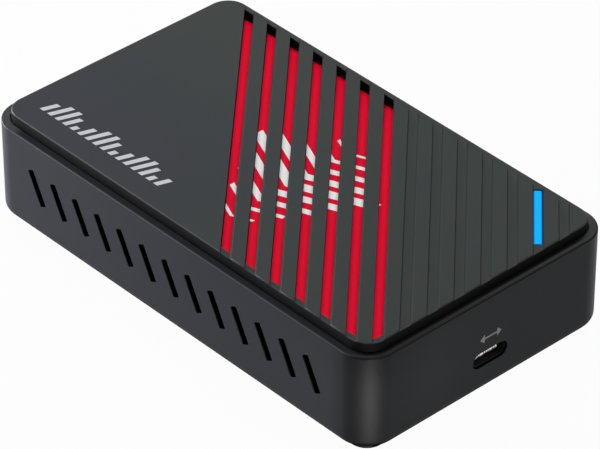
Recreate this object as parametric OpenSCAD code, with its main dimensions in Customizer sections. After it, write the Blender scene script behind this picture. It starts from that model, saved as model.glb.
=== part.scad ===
// Video capture box: a vented tub with a channelled, slotted cover that lifts off,
// a red inlay under the slots, a circuit board with its sockets, and rubber feet.
// Millimetres, +Z up, origin on the resting plane under the middle of the box.
// +X points to the USB end, and the two video sockets are on the -X end.

/* [Housing] */
// Length of the housing along X
body_l = 112.6; // [108:0.1:130]
// Width of the housing along Y
body_w = 66.2; // [63:0.1:80]
// Height from the underside of the tub to the top of the cover
body_h = 24.5; // [23.5:0.1:30]
// Plan radius of the housing's corners
corner_r = 6.8; // [6.2:0.1:8]
// Thickness of the tub's walls
wall_t = 1.8; // [1.5:0.1:2.2]
// Thickness of the tub's floor
floor_t = 2; // [1.6:0.1:2.6]
// Radius of the rounded edge round the underside
bottom_edge_r = 2.2; // [1:0.1:2.3]
// Radius of the eased outer edge of the rim
rim_edge_r = 0.3; // [0.2:0.1:0.6]

/* [Cover] */
// Thickness of the cover over its full-height bands
cover_t = 2.5; // [2.2:0.1:3.2]
// How far the cover stands above the rim
cover_proud = 2.2; // [1.6:0.1:2.2]
// Gap between the cover's edge and the rim
cover_gap = 0.3; // [0.2:0.05:0.5]
// Plan radius of the cover's corners
cover_r = 4.7; // [4.2:0.1:6]
// Radius of the eased edge round the cover's top
cover_edge_r = 0.4; // [0.2:0.1:0.8]
// Distance between neighbouring channels, square to them
channel_pitch = 5.04; // [4.6:0.02:5.6]
// Width of a channel's flat floor
channel_w = 2; // [1.6:0.1:2.4]
// Depth of a channel
channel_depth = 0.25; // [0.2:0.05:0.8]
// Width of the slope from a channel's floor back up to the top
channel_slope = 0.35; // [0.1:0.05:0.8]
// Length over which a channel's floor rises to the top towards the +Y edge
channel_runout = 3; // [1:0.5:6]
// Distance from the cover's +Y edge to the ends of the channels
channel_lip = 0.6; // [0.4:0.1:1.2]
// Number of channels before the one that holds the light
channels_before_light = 12; // [8:1:12]
// Number of channels after the one that holds the light
channels_after_light = 1; // [0:1:2]
// Number of channels, from the first, that are slotted through
slot_count = 7; // [3:1:7]
// Distance from the cover's edge to the ends of the slots
slot_margin = 1.4; // [1.2:0.1:4]
// Diameter of the posts that locate the cover
post_d = 2.4; // [2:0.1:3]
// Length of the cover's posts
post_h = 1.7; // [1:0.1:1.8]
// Radial clearance of a post in its socket
post_gap = 0.1; // [0.05:0.05:0.2]
// Distance from the cover's edge to the posts
post_inset = 5.5; // [4:0.5:7]
// Offset of the posts from the middle of the cover's sides
post_shift = 12; // [8:1:16]

/* [Inlay and light bar] */
// Thickness of the inlay sheet
inlay_t = 1; // [0.6:0.1:1.2]
// How far the inlay reaches past the outer slots
inlay_margin = 0.7; // [0.4:0.1:0.9]
// Clearance round the inlay in its pocket
inlay_gap = 0.1; // [0.05:0.05:0.2]
// Length of the light bar
light_l = 18; // [12:0.5:19]
// Width of the light bar
light_w = 1.8; // [1.2:0.1:1.8]
// Radius of the light bar's corners
light_end_r = 0.6; // [0.2:0.1:0.6]
// Clearance round the light bar in the cover and the deck
light_gap = 0.1; // [0.05:0.05:0.2]
// Distance from both of the cover's edges to the light bar's middle
light_inset = 8.3; // [8:0.1:12]
// How far the light pipe's flange reaches past its bar
light_flange = 1.2; // [0.8:0.1:1.5]
// Thickness of the light pipe's flange
light_flange_t = 0.8; // [0.6:0.1:1.2]
// Diameter of the light pipe's two legs
light_leg_d = 2.4; // [1.8:0.1:2.8]
// Distance between the light pipe's two legs
light_leg_spacing = 10.4; // [9.6:0.1:12]
// Gap between a leg and the light source under it
light_leg_gap = 0.3; // [0.2:0.1:0.6]

/* [Deck] */
// Thickness of the inner deck
deck_t = 2; // [1.8:0.1:2.6]
// Clearance between the deck's edge and the tub's walls
deck_gap = 0.15; // [0.1:0.05:0.3]
// Diameter of the deck's screw bosses
boss_d = 5.6; // [5:0.1:6]
// Length of the deck's screw bosses
boss_h = 6.5; // [5:0.5:8]

/* [Vents] */
// Number of slanted vents in each long wall
vent_count = 13; // [7:1:13]
// Distance between neighbouring vents
vent_pitch = 6.85; // [5:0.05:7]
// Width of a vent
vent_w = 1.9; // [1:0.1:2]
// Radius of a vent's corners
vent_end_r = 0.4; // [0.2:0.1:0.5]
// Height of a vent from tip to tip
vent_h = 7.6; // [5:0.1:8]
// Lean of a vent from upright, in degrees
vent_lean = 26.5; // [0:0.5:35]
// Height of the vents' middle above the tub's underside
vent_z = 12; // [10:0.1:13]

/* [Screws and feet] */
// Height of the feet below the tub
foot_h = 1.5; // [1:0.1:2.5]
// Diameter of a foot
foot_d = 8; // [7:0.1:8.2]
// Depth of the recess that a foot sits in
foot_sink = 0.6; // [0.4:0.1:0.8]
// Clearance round a foot in its recess
foot_gap = 0.05; // [0.02:0.01:0.1]
// Radius of a foot's lower edge
foot_edge_r = 0.5; // [0.2:0.1:0.8]
// Distance from the housing's outside to a foot's middle
foot_inset = 6.5; // [6.3:0.1:7]
// Diameter of the columns round the case screws
column_d = 7.6; // [7:0.1:8]
// Diameter of the case screws
case_screw_d = 2.2; // [2:0.1:2.5]
// Diameter of the case screws' heads
case_head_d = 4.2; // [3.8:0.1:4.6]
// Height of the case screws' heads
case_head_h = 1.5; // [1.2:0.1:2]
// Depth of the counterbore over a case screw's head
head_sink = 2; // [1.8:0.1:2.6]
// Radial clearance of a screw where it passes or grips
screw_gap = 0.05; // [0.02:0.01:0.2]
// How far a case screw stops short of the deck's top
screw_tip_gap = 3; // [2.4:0.1:4]
// Diameter of the board screws
board_screw_d = 2; // [1.8:0.1:2.5]
// Diameter of the board screws' heads
board_head_d = 3.8; // [3.4:0.1:4.4]
// Height of the board screws' heads
board_head_h = 1.3; // [1:0.1:1.8]
// Length of a board screw below its head
board_screw_l = 4; // [3.2:0.1:4.2]

/* [Board] */
// Thickness of the circuit board
board_t = 1.6; // [1.2:0.1:2]
// Height of the board's standoffs above the floor
standoff_h = 2.75; // [2.5:0.05:3.5]
// Diameter of the board's standoffs
standoff_d = 5.4; // [5:0.1:6]
// Clearance between the board's edge and the tub's walls
board_gap = 1; // [0.6:0.1:1.4]
// Clearance between the board and the screw columns
column_gap = 0.6; // [0.4:0.1:1]
// Distance from the board's short edges to its screws
board_screw_x = 17.5; // [16:0.5:19]
// Distance from the board's long edges to its screws
board_screw_y = 4.5; // [4:0.5:5]

/* [Sockets] */
// Outside width of the USB socket's metal shell
usb_w = 8.94; // [8.9:0.01:9]
// Outside height of the USB socket's metal shell
usb_h = 3.2; // [3.1:0.01:3.3]
// Length of the USB socket
usb_l = 7.4; // [7:0.1:9]
// Wall of the USB socket's metal shell
usb_wall = 0.3; // [0.2:0.05:0.35]
// Width of the USB tongue
usb_tongue_w = 6.7; // [6.6:0.01:6.8]
// Thickness of the USB tongue
usb_tongue_t = 0.7; // [0.6:0.05:0.8]
// Distance from the mouth of the USB shell to the tongue's tip
usb_tongue_back = 1.1; // [0.4:0.1:1.2]
// Inside width of a video socket's mouth
hdmi_w = 14; // [13.9:0.05:14.2]
// Inside height of a video socket's mouth
hdmi_h = 4.55; // [4.5:0.05:4.7]
// Cut corner at the lower sides of a video socket's mouth
hdmi_cut = 1.9; // [1.6:0.1:2.1]
// Length of a video socket
hdmi_l = 11.6; // [11:0.1:13]
// Wall of a video socket's metal shell
hdmi_wall = 0.4; // [0.3:0.05:0.5]
// Width of a video socket's tongue
hdmi_tongue_w = 9.6; // [9:0.1:10]
// Thickness of a video socket's tongue
hdmi_tongue_t = 1.4; // [1.2:0.1:1.6]
// Distance from the mouth of a video socket's shell to the tongue's tip
hdmi_tongue_back = 1; // [0.6:0.1:1.4]
// Distance between neighbouring contacts of a video socket
hdmi_pin_pitch = 0.9; // [0.8:0.05:1]
// Width of a video socket's contact
hdmi_pin_w = 0.45; // [0.3:0.05:0.6]
// Thickness of a video socket's contact
hdmi_pin_t = 0.1; // [0.05:0.01:0.15]
// Distance from a video socket's tongue tip back to its contacts' ends
hdmi_pin_back = 0.6; // [0.3:0.1:1.2]
// Distance between neighbouring USB contacts
usb_pin_pitch = 0.5; // [0.45:0.01:0.55]
// Width of a USB contact
usb_pin_w = 0.25; // [0.2:0.01:0.3]
// Thickness of a USB contact
usb_pin_t = 0.06; // [0.04:0.01:0.1]
// Distance from the USB tongue's tip back to its contacts' ends
usb_pin_back = 0.1; // [0.05:0.05:0.8]
// Distance from the middle of the box to a video socket's middle
hdmi_y = 12.5; // [11:0.5:13]
// Depth of a socket's plastic block behind its tongue
socket_block = 2.4; // [2:0.1:3]
// Distance from the housing's end face in to a socket's mouth
socket_sink = 0.5; // [0.3:0.1:1.2]
// Clearance round a socket in the housing's wall
socket_gap = 0.2; // [0.15:0.05:0.3]
// Clearance between a socket's plastic block and its metal shell
block_gap = 0.02; // [0.01:0.01:0.05]

/* [Parts on the board] */
// Side of the video processor
processor_side = 19; // [15:0.5:21]
// Height of the video processor
processor_h = 1.5; // [1.2:0.1:1.8]
// How far the thermal pad stays inside the processor's edges
pad_inset = 1.5; // [1:0.1:3]
// Thickness of the thermal pad
pad_t = 0.5; // [0.3:0.1:1]
// Length of the heat sink along X
sink_l = 34; // [26:0.5:36]
// Width of the heat sink along Y
sink_w = 38; // [28:0.5:40]
// Height of the heat sink
sink_h = 8; // [5:0.5:8.5]
// Thickness of the heat sink's base
sink_base_t = 2; // [1.4:0.1:2.5]
// Thickness of a fin
fin_t = 1.1; // [0.8:0.1:1.4]
// Number of fins
fin_count = 10; // [6:1:10]
// Height of the small chips
chip_h = 1; // [0.8:0.1:1.2]
// Side of the USB bridge chip
bridge_side = 10; // [8:0.5:11]
// Side of the video receiver chip
receiver_side = 12; // [9:0.5:12]
// Side of the video splitter chip
splitter_side = 9; // [7:0.5:10]
// Length of a memory chip
memory_l = 13; // [11:0.5:14]
// Width of a memory chip
memory_w = 8; // [7:0.5:9]
// Side of a power inductor
inductor_side = 6; // [5:0.5:6.5]
// Height of a power inductor
inductor_h = 3; // [2:0.1:3.4]
// Diameter of a capacitor
capacitor_d = 6.3; // [5:0.1:6.5]
// Height of a capacitor
capacitor_h = 5.8; // [5:0.1:7]
// Distance between neighbouring power parts
power_pitch = 9; // [7:0.5:10]
// Distance from the board's long edge to the middle of the power parts
power_edge = 5; // [4.5:0.5:6]
// Gap between a socket's back and the chip behind it
chip_gap = 1.5; // [1:0.1:3]
// Height of a status light source
led_h = 1; // [0.6:0.1:1.2]
// Side of a status light source
led_side = 2.2; // [1.6:0.1:2.6]

/* [Hidden] */
$fn = 48;

// A cut reaches this far past the solid that it goes through
past = 1;

// Heights above the resting plane
under_z = foot_h;
floor_z = under_z + floor_t;
top_z = under_z + body_h;
rim_z = top_z - cover_proud;
deck_z = top_z - cover_t;
deck_under_z = deck_z - deck_t;
column_z = deck_under_z - boss_h;
board_z = floor_z + standoff_h;
board_top_z = board_z + board_t;
channel_z = top_z - channel_depth;
head_z = under_z + foot_sink + head_sink;
led_top_z = board_top_z + led_h;

// Plan sizes
cavity_l = body_l - 2 * wall_t;
cavity_w = body_w - 2 * wall_t;
cavity_r = cover_r + cover_gap;
cover_l = cavity_l - 2 * cover_gap;
cover_w = cavity_w - 2 * cover_gap;
deck_l = cavity_l - 2 * deck_gap;
deck_w = cavity_w - 2 * deck_gap;
board_l = cavity_l - 2 * board_gap;
board_w = cavity_w - 2 * board_gap;

// Screws and feet share one rectangle, and the board is notched round it
foot_x = body_l / 2 - foot_inset;
foot_y = body_w / 2 - foot_inset;
notch_x = foot_x - column_d / 2 - column_gap;
notch_y = foot_y - column_d / 2 - column_gap;

// The channels run across the +X +Y corner at 45 degrees, in a frame turned with them
channel_turn = 45;
light_x = cover_l / 2 - light_inset;
light_y = cover_w / 2 - light_inset;
light_across = (light_x + light_y) * cos(channel_turn);
light_along = (light_y - light_x) * cos(channel_turn);
first_channel = light_across - channel_w / 2 - channels_before_light * channel_pitch;
last_slot_end = first_channel + (slot_count - 1) * channel_pitch + channel_w;
cross_l = cover_l + cover_w;

// Cover posts, in pairs that face each other across the middle
post_spots = [
    [-(cover_l / 2 - post_inset), post_shift],
    [cover_l / 2 - post_inset, -post_shift],
    [-post_shift, -(cover_w / 2 - post_inset)],
    [post_shift, cover_w / 2 - post_inset]
];

// Sockets
usb_mouth_x = body_l / 2 - socket_sink;
usb_back_x = usb_mouth_x - usb_l;
usb_z = board_top_z + usb_h / 2;
usb_pins = 12;
hdmi_mouth_x = body_l / 2 - socket_sink;
hdmi_back_x = hdmi_mouth_x - hdmi_l;
hdmi_z = board_top_z + hdmi_wall + hdmi_h / 2;
hdmi_pins_upper = 10;
hdmi_pins_lower = 9;

// Places on the board
sink_x = -4;
sink_z = board_top_z + processor_h + pad_t;
memory_x = sink_x + sink_l / 2 + chip_gap + memory_w / 2;
memory_y = 9;
bridge_x = usb_back_x - chip_gap - bridge_side / 2;
receiver_x = -hdmi_back_x + chip_gap + receiver_side / 2;
splitter_x = -hdmi_back_x + chip_gap + splitter_side / 2;
power_y = board_w / 2 - power_edge;
flash_l = 6;
flash_w = 5;
crystal_l = 5;
crystal_w = 3.2;
crystal_can_h = 1.2;

// Flat outline of a rectangle with round corners
module rounded_outline(l, w, r) {
    square([l - 2 * r, w], center = true);
    square([l, w - 2 * r], center = true);
    for (x = [-1, 1], y = [-1, 1])
        translate([x * (l / 2 - r), y * (w / 2 - r)]) circle(r);
}

// Half section of a block's edge: reach out from the Y axis, with round lower and upper edges
module edge_section(reach, h, lower_r, upper_r) {
    translate([0, lower_r]) square([reach, h - lower_r - upper_r]);
    square([reach - max(lower_r, upper_r), h]);
    if (lower_r > 0) {
        square([reach - lower_r, lower_r]);
        intersection() {
            translate([reach - lower_r, lower_r]) circle(lower_r);
            translate([reach - lower_r, 0]) square(lower_r);
        }
    }
    if (upper_r > 0) {
        translate([0, h - upper_r]) square([reach - upper_r, upper_r]);
        intersection() {
            translate([reach - upper_r, h - upper_r]) circle(upper_r);
            translate([reach - upper_r, h - upper_r]) square(upper_r);
        }
    }
}

// Block with round corners in plan and round edges below and above
module eased_block(l, w, h, r, lower_r = 0, upper_r = 0) {
    for (side = [0, 180]) {
        rotate([0, 0, side]) translate([-(l / 2 - r), 0, 0])
            rotate([90, 0, 90]) linear_extrude(l - 2 * r)
                edge_section(w / 2, h, lower_r, upper_r);
        rotate([0, 0, side]) translate([l / 2 - r, -(w / 2 - r), 0])
            rotate([90, 0, 180]) mirror([1, 0, 0]) linear_extrude(w - 2 * r)
                edge_section(r, h, lower_r, upper_r);
    }
    for (x = [-1, 1], y = [-1, 1])
        mirror([x < 0 ? 1 : 0, 0, 0]) mirror([0, y < 0 ? 1 : 0, 0])
            translate([l / 2 - r, w / 2 - r, 0])
                rotate_extrude(angle = 90) edge_section(r, h, lower_r, upper_r);
}

// Bar with round ends, its middle at the origin and its length along X
module stadium(l, w) {
    square([l - w, w], center = true);
    for (x = [-1, 1]) translate([x * (l - w) / 2, 0]) circle(d = w);
}

// Put a shape at the four screws and feet
module at_feet() {
    for (x = [-1, 1], y = [-1, 1]) translate([x * foot_x, y * foot_y, 0]) children();
}

// Put a shape at the four board screws
module at_board_screws() {
    for (x = [-1, 1], y = [-1, 1])
        translate([x * (board_l / 2 - board_screw_x), y * (board_w / 2 - board_screw_y), 0])
            children();
}

// Turn a shape to the channels: its X runs across them and its Y along them
module along_channels() {
    rotate([0, 0, channel_turn]) children();
}

// Put a shape on the light bar's middle, with its X along the bar
module at_light() {
    along_channels() translate([light_across, light_along, 0]) rotate([0, 0, 90]) children();
}

// Flat outline of the light bar, grown outwards by g
module light_outline(g) {
    rounded_outline(light_l + 2 * g, light_w + 2 * g, light_end_r + g);
}

// Put a shape at the light pipe's two legs
module at_light_legs() {
    at_light() for (x = [-1, 1]) translate([x * light_leg_spacing / 2, 0, 0]) children();
}

// Section of a video socket's mouth, grown outwards by g
module hdmi_section(g) {
    side = hdmi_w / 2 + g;
    top = hdmi_h / 2 + g;
    miter = g * (sqrt(2) - 1);
    knee_y = -(hdmi_h / 2 - hdmi_cut) - miter;
    knee_x = hdmi_w / 2 - hdmi_cut + miter;
    polygon([
        [side, top], [-side, top], [-side, knee_y],
        [-knee_x, -top], [knee_x, -top], [side, knee_y]
    ]);
}

// Stand a flat section up so that it runs from x0 to x1
module along_x(x0, x1) {
    translate([x0, 0, 0]) rotate([90, 0, 90]) linear_extrude(x1 - x0) children();
}

// One row of slanted vents, cut through the wall on the -Y side
module vent_row() {
    run = vent_h - vent_w;
    for (i = [0 : vent_count - 1])
        translate([(i - (vent_count - 1) / 2) * vent_pitch, 0, under_z + vent_z])
            rotate([90, 0, 0]) translate([0, 0, body_w / 2 - wall_t - past])
                linear_extrude(wall_t + 2 * past)
                    rotate(90 + vent_lean)
                        rounded_outline(run / cos(vent_lean) + vent_w, vent_w, vent_end_r);
}

// Tub with vents, port cut-outs, screw columns, board standoffs and recesses for the feet
module base_shell() {
    color([0.23, 0.235, 0.245]) difference() {
        union() {
            difference() {
                translate([0, 0, under_z])
                    eased_block(body_l, body_w, rim_z - under_z, corner_r,
                                bottom_edge_r, rim_edge_r);
                translate([0, 0, floor_z]) linear_extrude(body_h)
                    rounded_outline(cavity_l, cavity_w, cavity_r);
            }
            intersection() {
                at_feet() translate([0, 0, under_z + floor_t / 2])
                    cylinder(d = column_d, h = column_z - under_z - floor_t / 2);
                translate([0, 0, under_z]) linear_extrude(body_h)
                    rounded_outline(cavity_l + wall_t, cavity_w + wall_t, cavity_r + wall_t / 2);
            }
            at_board_screws() translate([0, 0, under_z + floor_t / 2])
                cylinder(d = standoff_d, h = board_z - under_z - floor_t / 2);
        }
        for (side = [0, 180]) rotate([0, 0, side]) vent_row();
        at_feet() {
            translate([0, 0, under_z - past])
                cylinder(d = foot_d + 2 * foot_gap, h = past + foot_sink);
            translate([0, 0, under_z])
                cylinder(d = case_head_d + 4 * screw_gap, h = head_z - under_z);
            translate([0, 0, under_z])
                cylinder(d = case_screw_d + 4 * screw_gap, h = column_z - under_z + past);
        }
        at_board_screws() translate([0, 0, board_top_z - board_screw_l - screw_gap])
            cylinder(d = board_screw_d + 2 * screw_gap, h = board_screw_l + past);
        translate([0, 0, usb_z]) along_x(body_l / 2 - wall_t - past, body_l / 2 + past)
            stadium(usb_w + 2 * socket_gap, usb_h + 2 * socket_gap);
        for (y = [-1, 1])
            translate([0, y * hdmi_y, hdmi_z])
                along_x(-body_l / 2 - past, -body_l / 2 + wall_t + past)
                    hdmi_section(hdmi_wall + socket_gap);
    }
}

// Flat outline of the inlay, grown outwards by g
module inlay_outline(g) {
    start = first_channel - inlay_margin - g;
    inset = slot_margin - inlay_margin - g;
    intersection() {
        rounded_outline(cover_l - 2 * inset, cover_w - 2 * inset, cover_r - inset);
        along_channels() translate([start, -cross_l / 2])
            square([last_slot_end + inlay_margin + g - start, cross_l]);
    }
}

// Deck that closes the tub: inlay pocket, post sockets, light slot and screw bosses
module upper_deck() {
    color([0.1, 0.1, 0.105]) difference() {
        union() {
            translate([0, 0, deck_under_z]) linear_extrude(deck_t)
                rounded_outline(deck_l, deck_w, cavity_r - deck_gap);
            at_feet() translate([0, 0, column_z])
                cylinder(d = boss_d, h = boss_h + deck_t / 2);
        }
        translate([0, 0, deck_z - inlay_t]) linear_extrude(inlay_t + past)
            inlay_outline(inlay_gap);
        for (spot = post_spots) translate([spot.x, spot.y, deck_under_z - past])
            cylinder(d = post_d + 2 * post_gap, h = deck_t + 2 * past);
        at_light() translate([0, 0, deck_under_z - past]) linear_extrude(deck_t + 2 * past)
            light_outline(light_gap);
        at_feet() translate([0, 0, column_z - past])
            cylinder(d = case_screw_d + 2 * screw_gap,
                     h = deck_z - screw_tip_gap + screw_gap - column_z + past);
    }
}

// Red sheet under the slots
module inlay_panel() {
    color([0.8, 0.04, 0.16]) translate([0, 0, deck_z - inlay_t]) linear_extrude(inlay_t)
        inlay_outline(0);
}

// One channel's section: a step down, a flat floor and a slope back up
module channel_section() {
    slope_run = channel_slope * (channel_depth + past) / channel_depth;
    polygon([
        [0, 0], [channel_w, 0], [channel_w + slope_run, channel_depth + past],
        [0, channel_depth + past]
    ]);
}

// Room that the channels are cut in: it ends in a slope that rises to the +Y edge's lip
module channel_room() {
    end_y = cover_w / 2 - channel_lip;
    slope_run = channel_runout * past / channel_depth;
    translate([-cross_l / 2, 0, 0]) rotate([90, 0, 90]) linear_extrude(cross_l)
        polygon([
            [-cover_w, channel_z - past], [end_y - channel_runout - slope_run, channel_z - past],
            [end_y + slope_run, top_z + past], [-cover_w, top_z + past]
        ]);
}

// Cover plate with its channels, its slots, the light's slot and its posts
module top_cover() {
    channel_count = channels_before_light + 1 + channels_after_light;
    color([0.27, 0.275, 0.275]) {
        difference() {
            translate([0, 0, deck_z])
                eased_block(cover_l, cover_w, cover_t, cover_r, 0, cover_edge_r);
            intersection() {
                for (k = [0 : channel_count - 1])
                    along_channels()
                        translate([first_channel + k * channel_pitch, cross_l / 2, channel_z])
                            rotate([90, 0, 0]) linear_extrude(cross_l) channel_section();
                channel_room();
            }
            translate([0, 0, deck_z - past]) linear_extrude(cover_t + 2 * past)
                intersection() {
                    rounded_outline(cover_l - 2 * slot_margin, cover_w - 2 * slot_margin,
                                    cover_r - slot_margin);
                    along_channels() for (k = [0 : slot_count - 1])
                        translate([first_channel + k * channel_pitch, -cross_l / 2])
                            square([channel_w, cross_l]);
                }
            at_light() translate([0, 0, deck_z - past]) linear_extrude(cover_t + 2 * past)
                light_outline(light_gap);
        }
        for (spot = post_spots) translate([spot.x, spot.y, deck_z - post_h])
            cylinder(d = post_d, h = post_h + cover_t / 2);
    }
}

// Light bar with its flange under the deck and two legs down to the light sources
module light_pipe() {
    color([0.05, 0.7, 1]) {
        at_light() translate([0, 0, deck_under_z - light_flange_t / 2])
            linear_extrude(channel_z - deck_under_z + light_flange_t / 2) light_outline(0);
        at_light() translate([0, 0, deck_under_z - light_flange_t]) linear_extrude(light_flange_t)
            light_outline(light_flange);
        at_light_legs() translate([0, 0, led_top_z + light_leg_gap])
            cylinder(d = light_leg_d,
                     h = deck_under_z - light_flange_t / 2 - led_top_z - light_leg_gap);
    }
}

// Circuit board, notched at the screw columns and drilled for its screws
module main_board() {
    color([0.03, 0.22, 0.12]) translate([0, 0, board_z]) linear_extrude(board_t)
        difference() {
            square([board_l, board_w], center = true);
            for (x = [-1, 1], y = [-1, 1])
                translate([x * board_l / 2, y * board_w / 2])
                    square([board_l - 2 * notch_x, board_w - 2 * notch_y], center = true);
            at_board_screws() circle(d = board_screw_d + 4 * screw_gap);
        }
}

// Metal shell of the USB socket
module usb_shell() {
    color([0.72, 0.72, 0.74]) translate([0, 0, usb_z]) along_x(usb_back_x, usb_mouth_x)
        difference() {
            stadium(usb_w, usb_h);
            stadium(usb_w - 2 * usb_wall, usb_h - 2 * usb_wall);
        }
}

// Plastic block and tongue of the USB socket
module usb_tongue() {
    fill = usb_wall + block_gap;
    color([0.08, 0.08, 0.08]) translate([0, 0, usb_z]) {
        along_x(usb_back_x, usb_back_x + socket_block)
            stadium(usb_w - 2 * fill, usb_h - 2 * fill);
        along_x(usb_back_x + socket_block / 2, usb_mouth_x - usb_tongue_back)
            square([usb_tongue_w, usb_tongue_t], center = true);
    }
}

// Rows of contacts on the USB tongue, above and below
module usb_contacts() {
    color([0.85, 0.68, 0.3]) for (i = [0 : usb_pins - 1], face = [-1, 1])
        translate([0, (i - (usb_pins - 1) / 2) * usb_pin_pitch,
                   usb_z + face * (usb_tongue_t + usb_pin_t) / 2])
            along_x(usb_back_x + socket_block, usb_mouth_x - usb_tongue_back - usb_pin_back)
                square([usb_pin_w, usb_pin_t], center = true);
}

// Put a video socket's pieces at its place on the -X end: side -1 is the input, 1 the output
module at_hdmi(side) {
    translate([0, side * hdmi_y, hdmi_z]) mirror([1, 0, 0]) children();
}

// Metal shell of a video socket
module hdmi_shell(side) {
    color([0.72, 0.72, 0.74]) at_hdmi(side) along_x(hdmi_back_x, hdmi_mouth_x)
        difference() {
            hdmi_section(hdmi_wall);
            hdmi_section(0);
        }
}

// Plastic block and tongue of a video socket
module hdmi_tongue(side) {
    color([0.08, 0.08, 0.08]) at_hdmi(side) {
        along_x(hdmi_back_x, hdmi_back_x + socket_block) hdmi_section(-block_gap);
        along_x(hdmi_back_x + socket_block / 2, hdmi_mouth_x - hdmi_tongue_back)
            square([hdmi_tongue_w, hdmi_tongue_t], center = true);
    }
}

// Rows of contacts on a video socket's tongue: one more above than below
module hdmi_contacts(side) {
    rows = [[hdmi_pins_upper, 1], [hdmi_pins_lower, -1]];
    color([0.85, 0.68, 0.3]) at_hdmi(side) for (row = rows, i = [0 : row[0] - 1])
        translate([0, (i - (row[0] - 1) / 2) * hdmi_pin_pitch,
                   row[1] * (hdmi_tongue_t + hdmi_pin_t) / 2])
            along_x(hdmi_back_x + socket_block, hdmi_mouth_x - hdmi_tongue_back - hdmi_pin_back)
                square([hdmi_pin_w, hdmi_pin_t], center = true);
}

// Chip on the board: a flat block with a dot moulded in at its first corner
module chip(x, y, l, w, h) {
    dot_d = 0.8;
    dot_depth = 0.2;
    dot_inset = 1.2;
    color([0.09, 0.09, 0.1]) translate([x, y, board_top_z]) difference() {
        linear_extrude(h) square([l, w], center = true);
        translate([dot_inset - l / 2, dot_inset - w / 2, h - dot_depth])
            cylinder(d = dot_d, h = dot_depth + past);
    }
}

// Main chip: a carrier with a raised lid
module video_processor() {
    carrier_h = 0.6;
    lid_step = 1.5;
    color([0.12, 0.13, 0.12]) translate([sink_x, 0, board_top_z]) {
        linear_extrude(carrier_h) square(processor_side, center = true);
        linear_extrude(processor_h) square(processor_side - 2 * lid_step, center = true);
    }
}

// Soft pad between the main chip and the heat sink
module thermal_pad() {
    color([0.55, 0.6, 0.65]) translate([sink_x, 0, board_top_z + processor_h])
        linear_extrude(pad_t) square(processor_side - 2 * pad_inset, center = true);
}

// Extruded heat sink, with its fins along the air's way between the vents
module heat_sink() {
    fin_pitch = (sink_l - fin_t) / (fin_count - 1);
    color([0.6, 0.61, 0.63]) translate([sink_x, sink_w / 2, sink_z])
        rotate([90, 0, 0]) linear_extrude(sink_w) {
            translate([-sink_l / 2, 0]) square([sink_l, sink_base_t]);
            for (i = [0 : fin_count - 1])
                translate([i * fin_pitch - sink_l / 2, 0]) square([fin_t, sink_h]);
        }
}

// Crystal in its oblong metal can
module crystal() {
    color([0.75, 0.75, 0.72]) translate([bridge_x, -bridge_side, board_top_z])
        linear_extrude(crystal_can_h) stadium(crystal_l, crystal_w);
}

// Power inductor: a square body with a round core on top
module inductor(i) {
    core_rise = 0.4;
    core_inset = 0.5;
    edge_r = 1;
    color([0.25, 0.25, 0.26]) translate([sink_x + (i - 2) * power_pitch, power_y, board_top_z]) {
        linear_extrude(inductor_h - core_rise)
            rounded_outline(inductor_side, inductor_side, edge_r);
        cylinder(d = inductor_side - 2 * core_inset, h = inductor_h);
    }
}

// Can capacitor on a square plastic foot
module capacitor(i) {
    seat_h = 0.9;
    color([0.7, 0.7, 0.72])
        translate([sink_x + (i - 1.5) * power_pitch, -power_y, board_top_z]) {
            linear_extrude(seat_h) square(capacitor_d, center = true);
            cylinder(d = capacitor_d, h = capacitor_h);
        }
}

// Light source under a leg of the light pipe: end -1 or 1 along the bar
module status_led(end) {
    color([0.9, 0.92, 0.85]) at_light() translate([end * light_leg_spacing / 2, 0, board_top_z])
        linear_extrude(led_h) square(led_side, center = true);
}

// Screws that hold the board on its standoffs
module board_screws() {
    slot_depth = 0.5;
    slot_w = 0.5;
    slot_end = 0.5;
    color([0.75, 0.75, 0.76]) at_board_screws() difference() {
        union() {
            translate([0, 0, board_top_z]) cylinder(d = board_head_d, h = board_head_h);
            translate([0, 0, board_top_z - board_screw_l])
                cylinder(d = board_screw_d, h = board_screw_l + board_head_h / 2);
        }
        translate([0, 0, board_top_z + board_head_h - slot_depth]) linear_extrude(past)
            for (turn = [0, 90]) rotate(turn)
                square([board_head_d - 2 * slot_end, slot_w], center = true);
    }
}

// Screws from the underside, through the columns, into the deck's bosses
module case_screws() {
    slot_depth = 0.7;
    slot_w = 0.6;
    slot_end = 0.5;
    color([0.2, 0.2, 0.21]) at_feet() difference() {
        union() {
            translate([0, 0, head_z - case_head_h]) cylinder(d = case_head_d, h = case_head_h);
            translate([0, 0, head_z - case_head_h / 2])
                cylinder(d = case_screw_d,
                         h = deck_z - screw_tip_gap - head_z + case_head_h / 2);
        }
        translate([0, 0, head_z - case_head_h - past]) linear_extrude(past + slot_depth)
            for (turn = [0, 90]) rotate(turn)
                square([case_head_d - 2 * slot_end, slot_w], center = true);
    }
}

// Rubber foot in its recess, with a round lower edge: x and y are the signs of its corner
module foot(x, y) {
    color([0.07, 0.07, 0.07]) translate([x * foot_x, y * foot_y, 0])
        rotate_extrude() edge_section(foot_d / 2, foot_h + foot_sink, foot_edge_r, 0);
}

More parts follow.
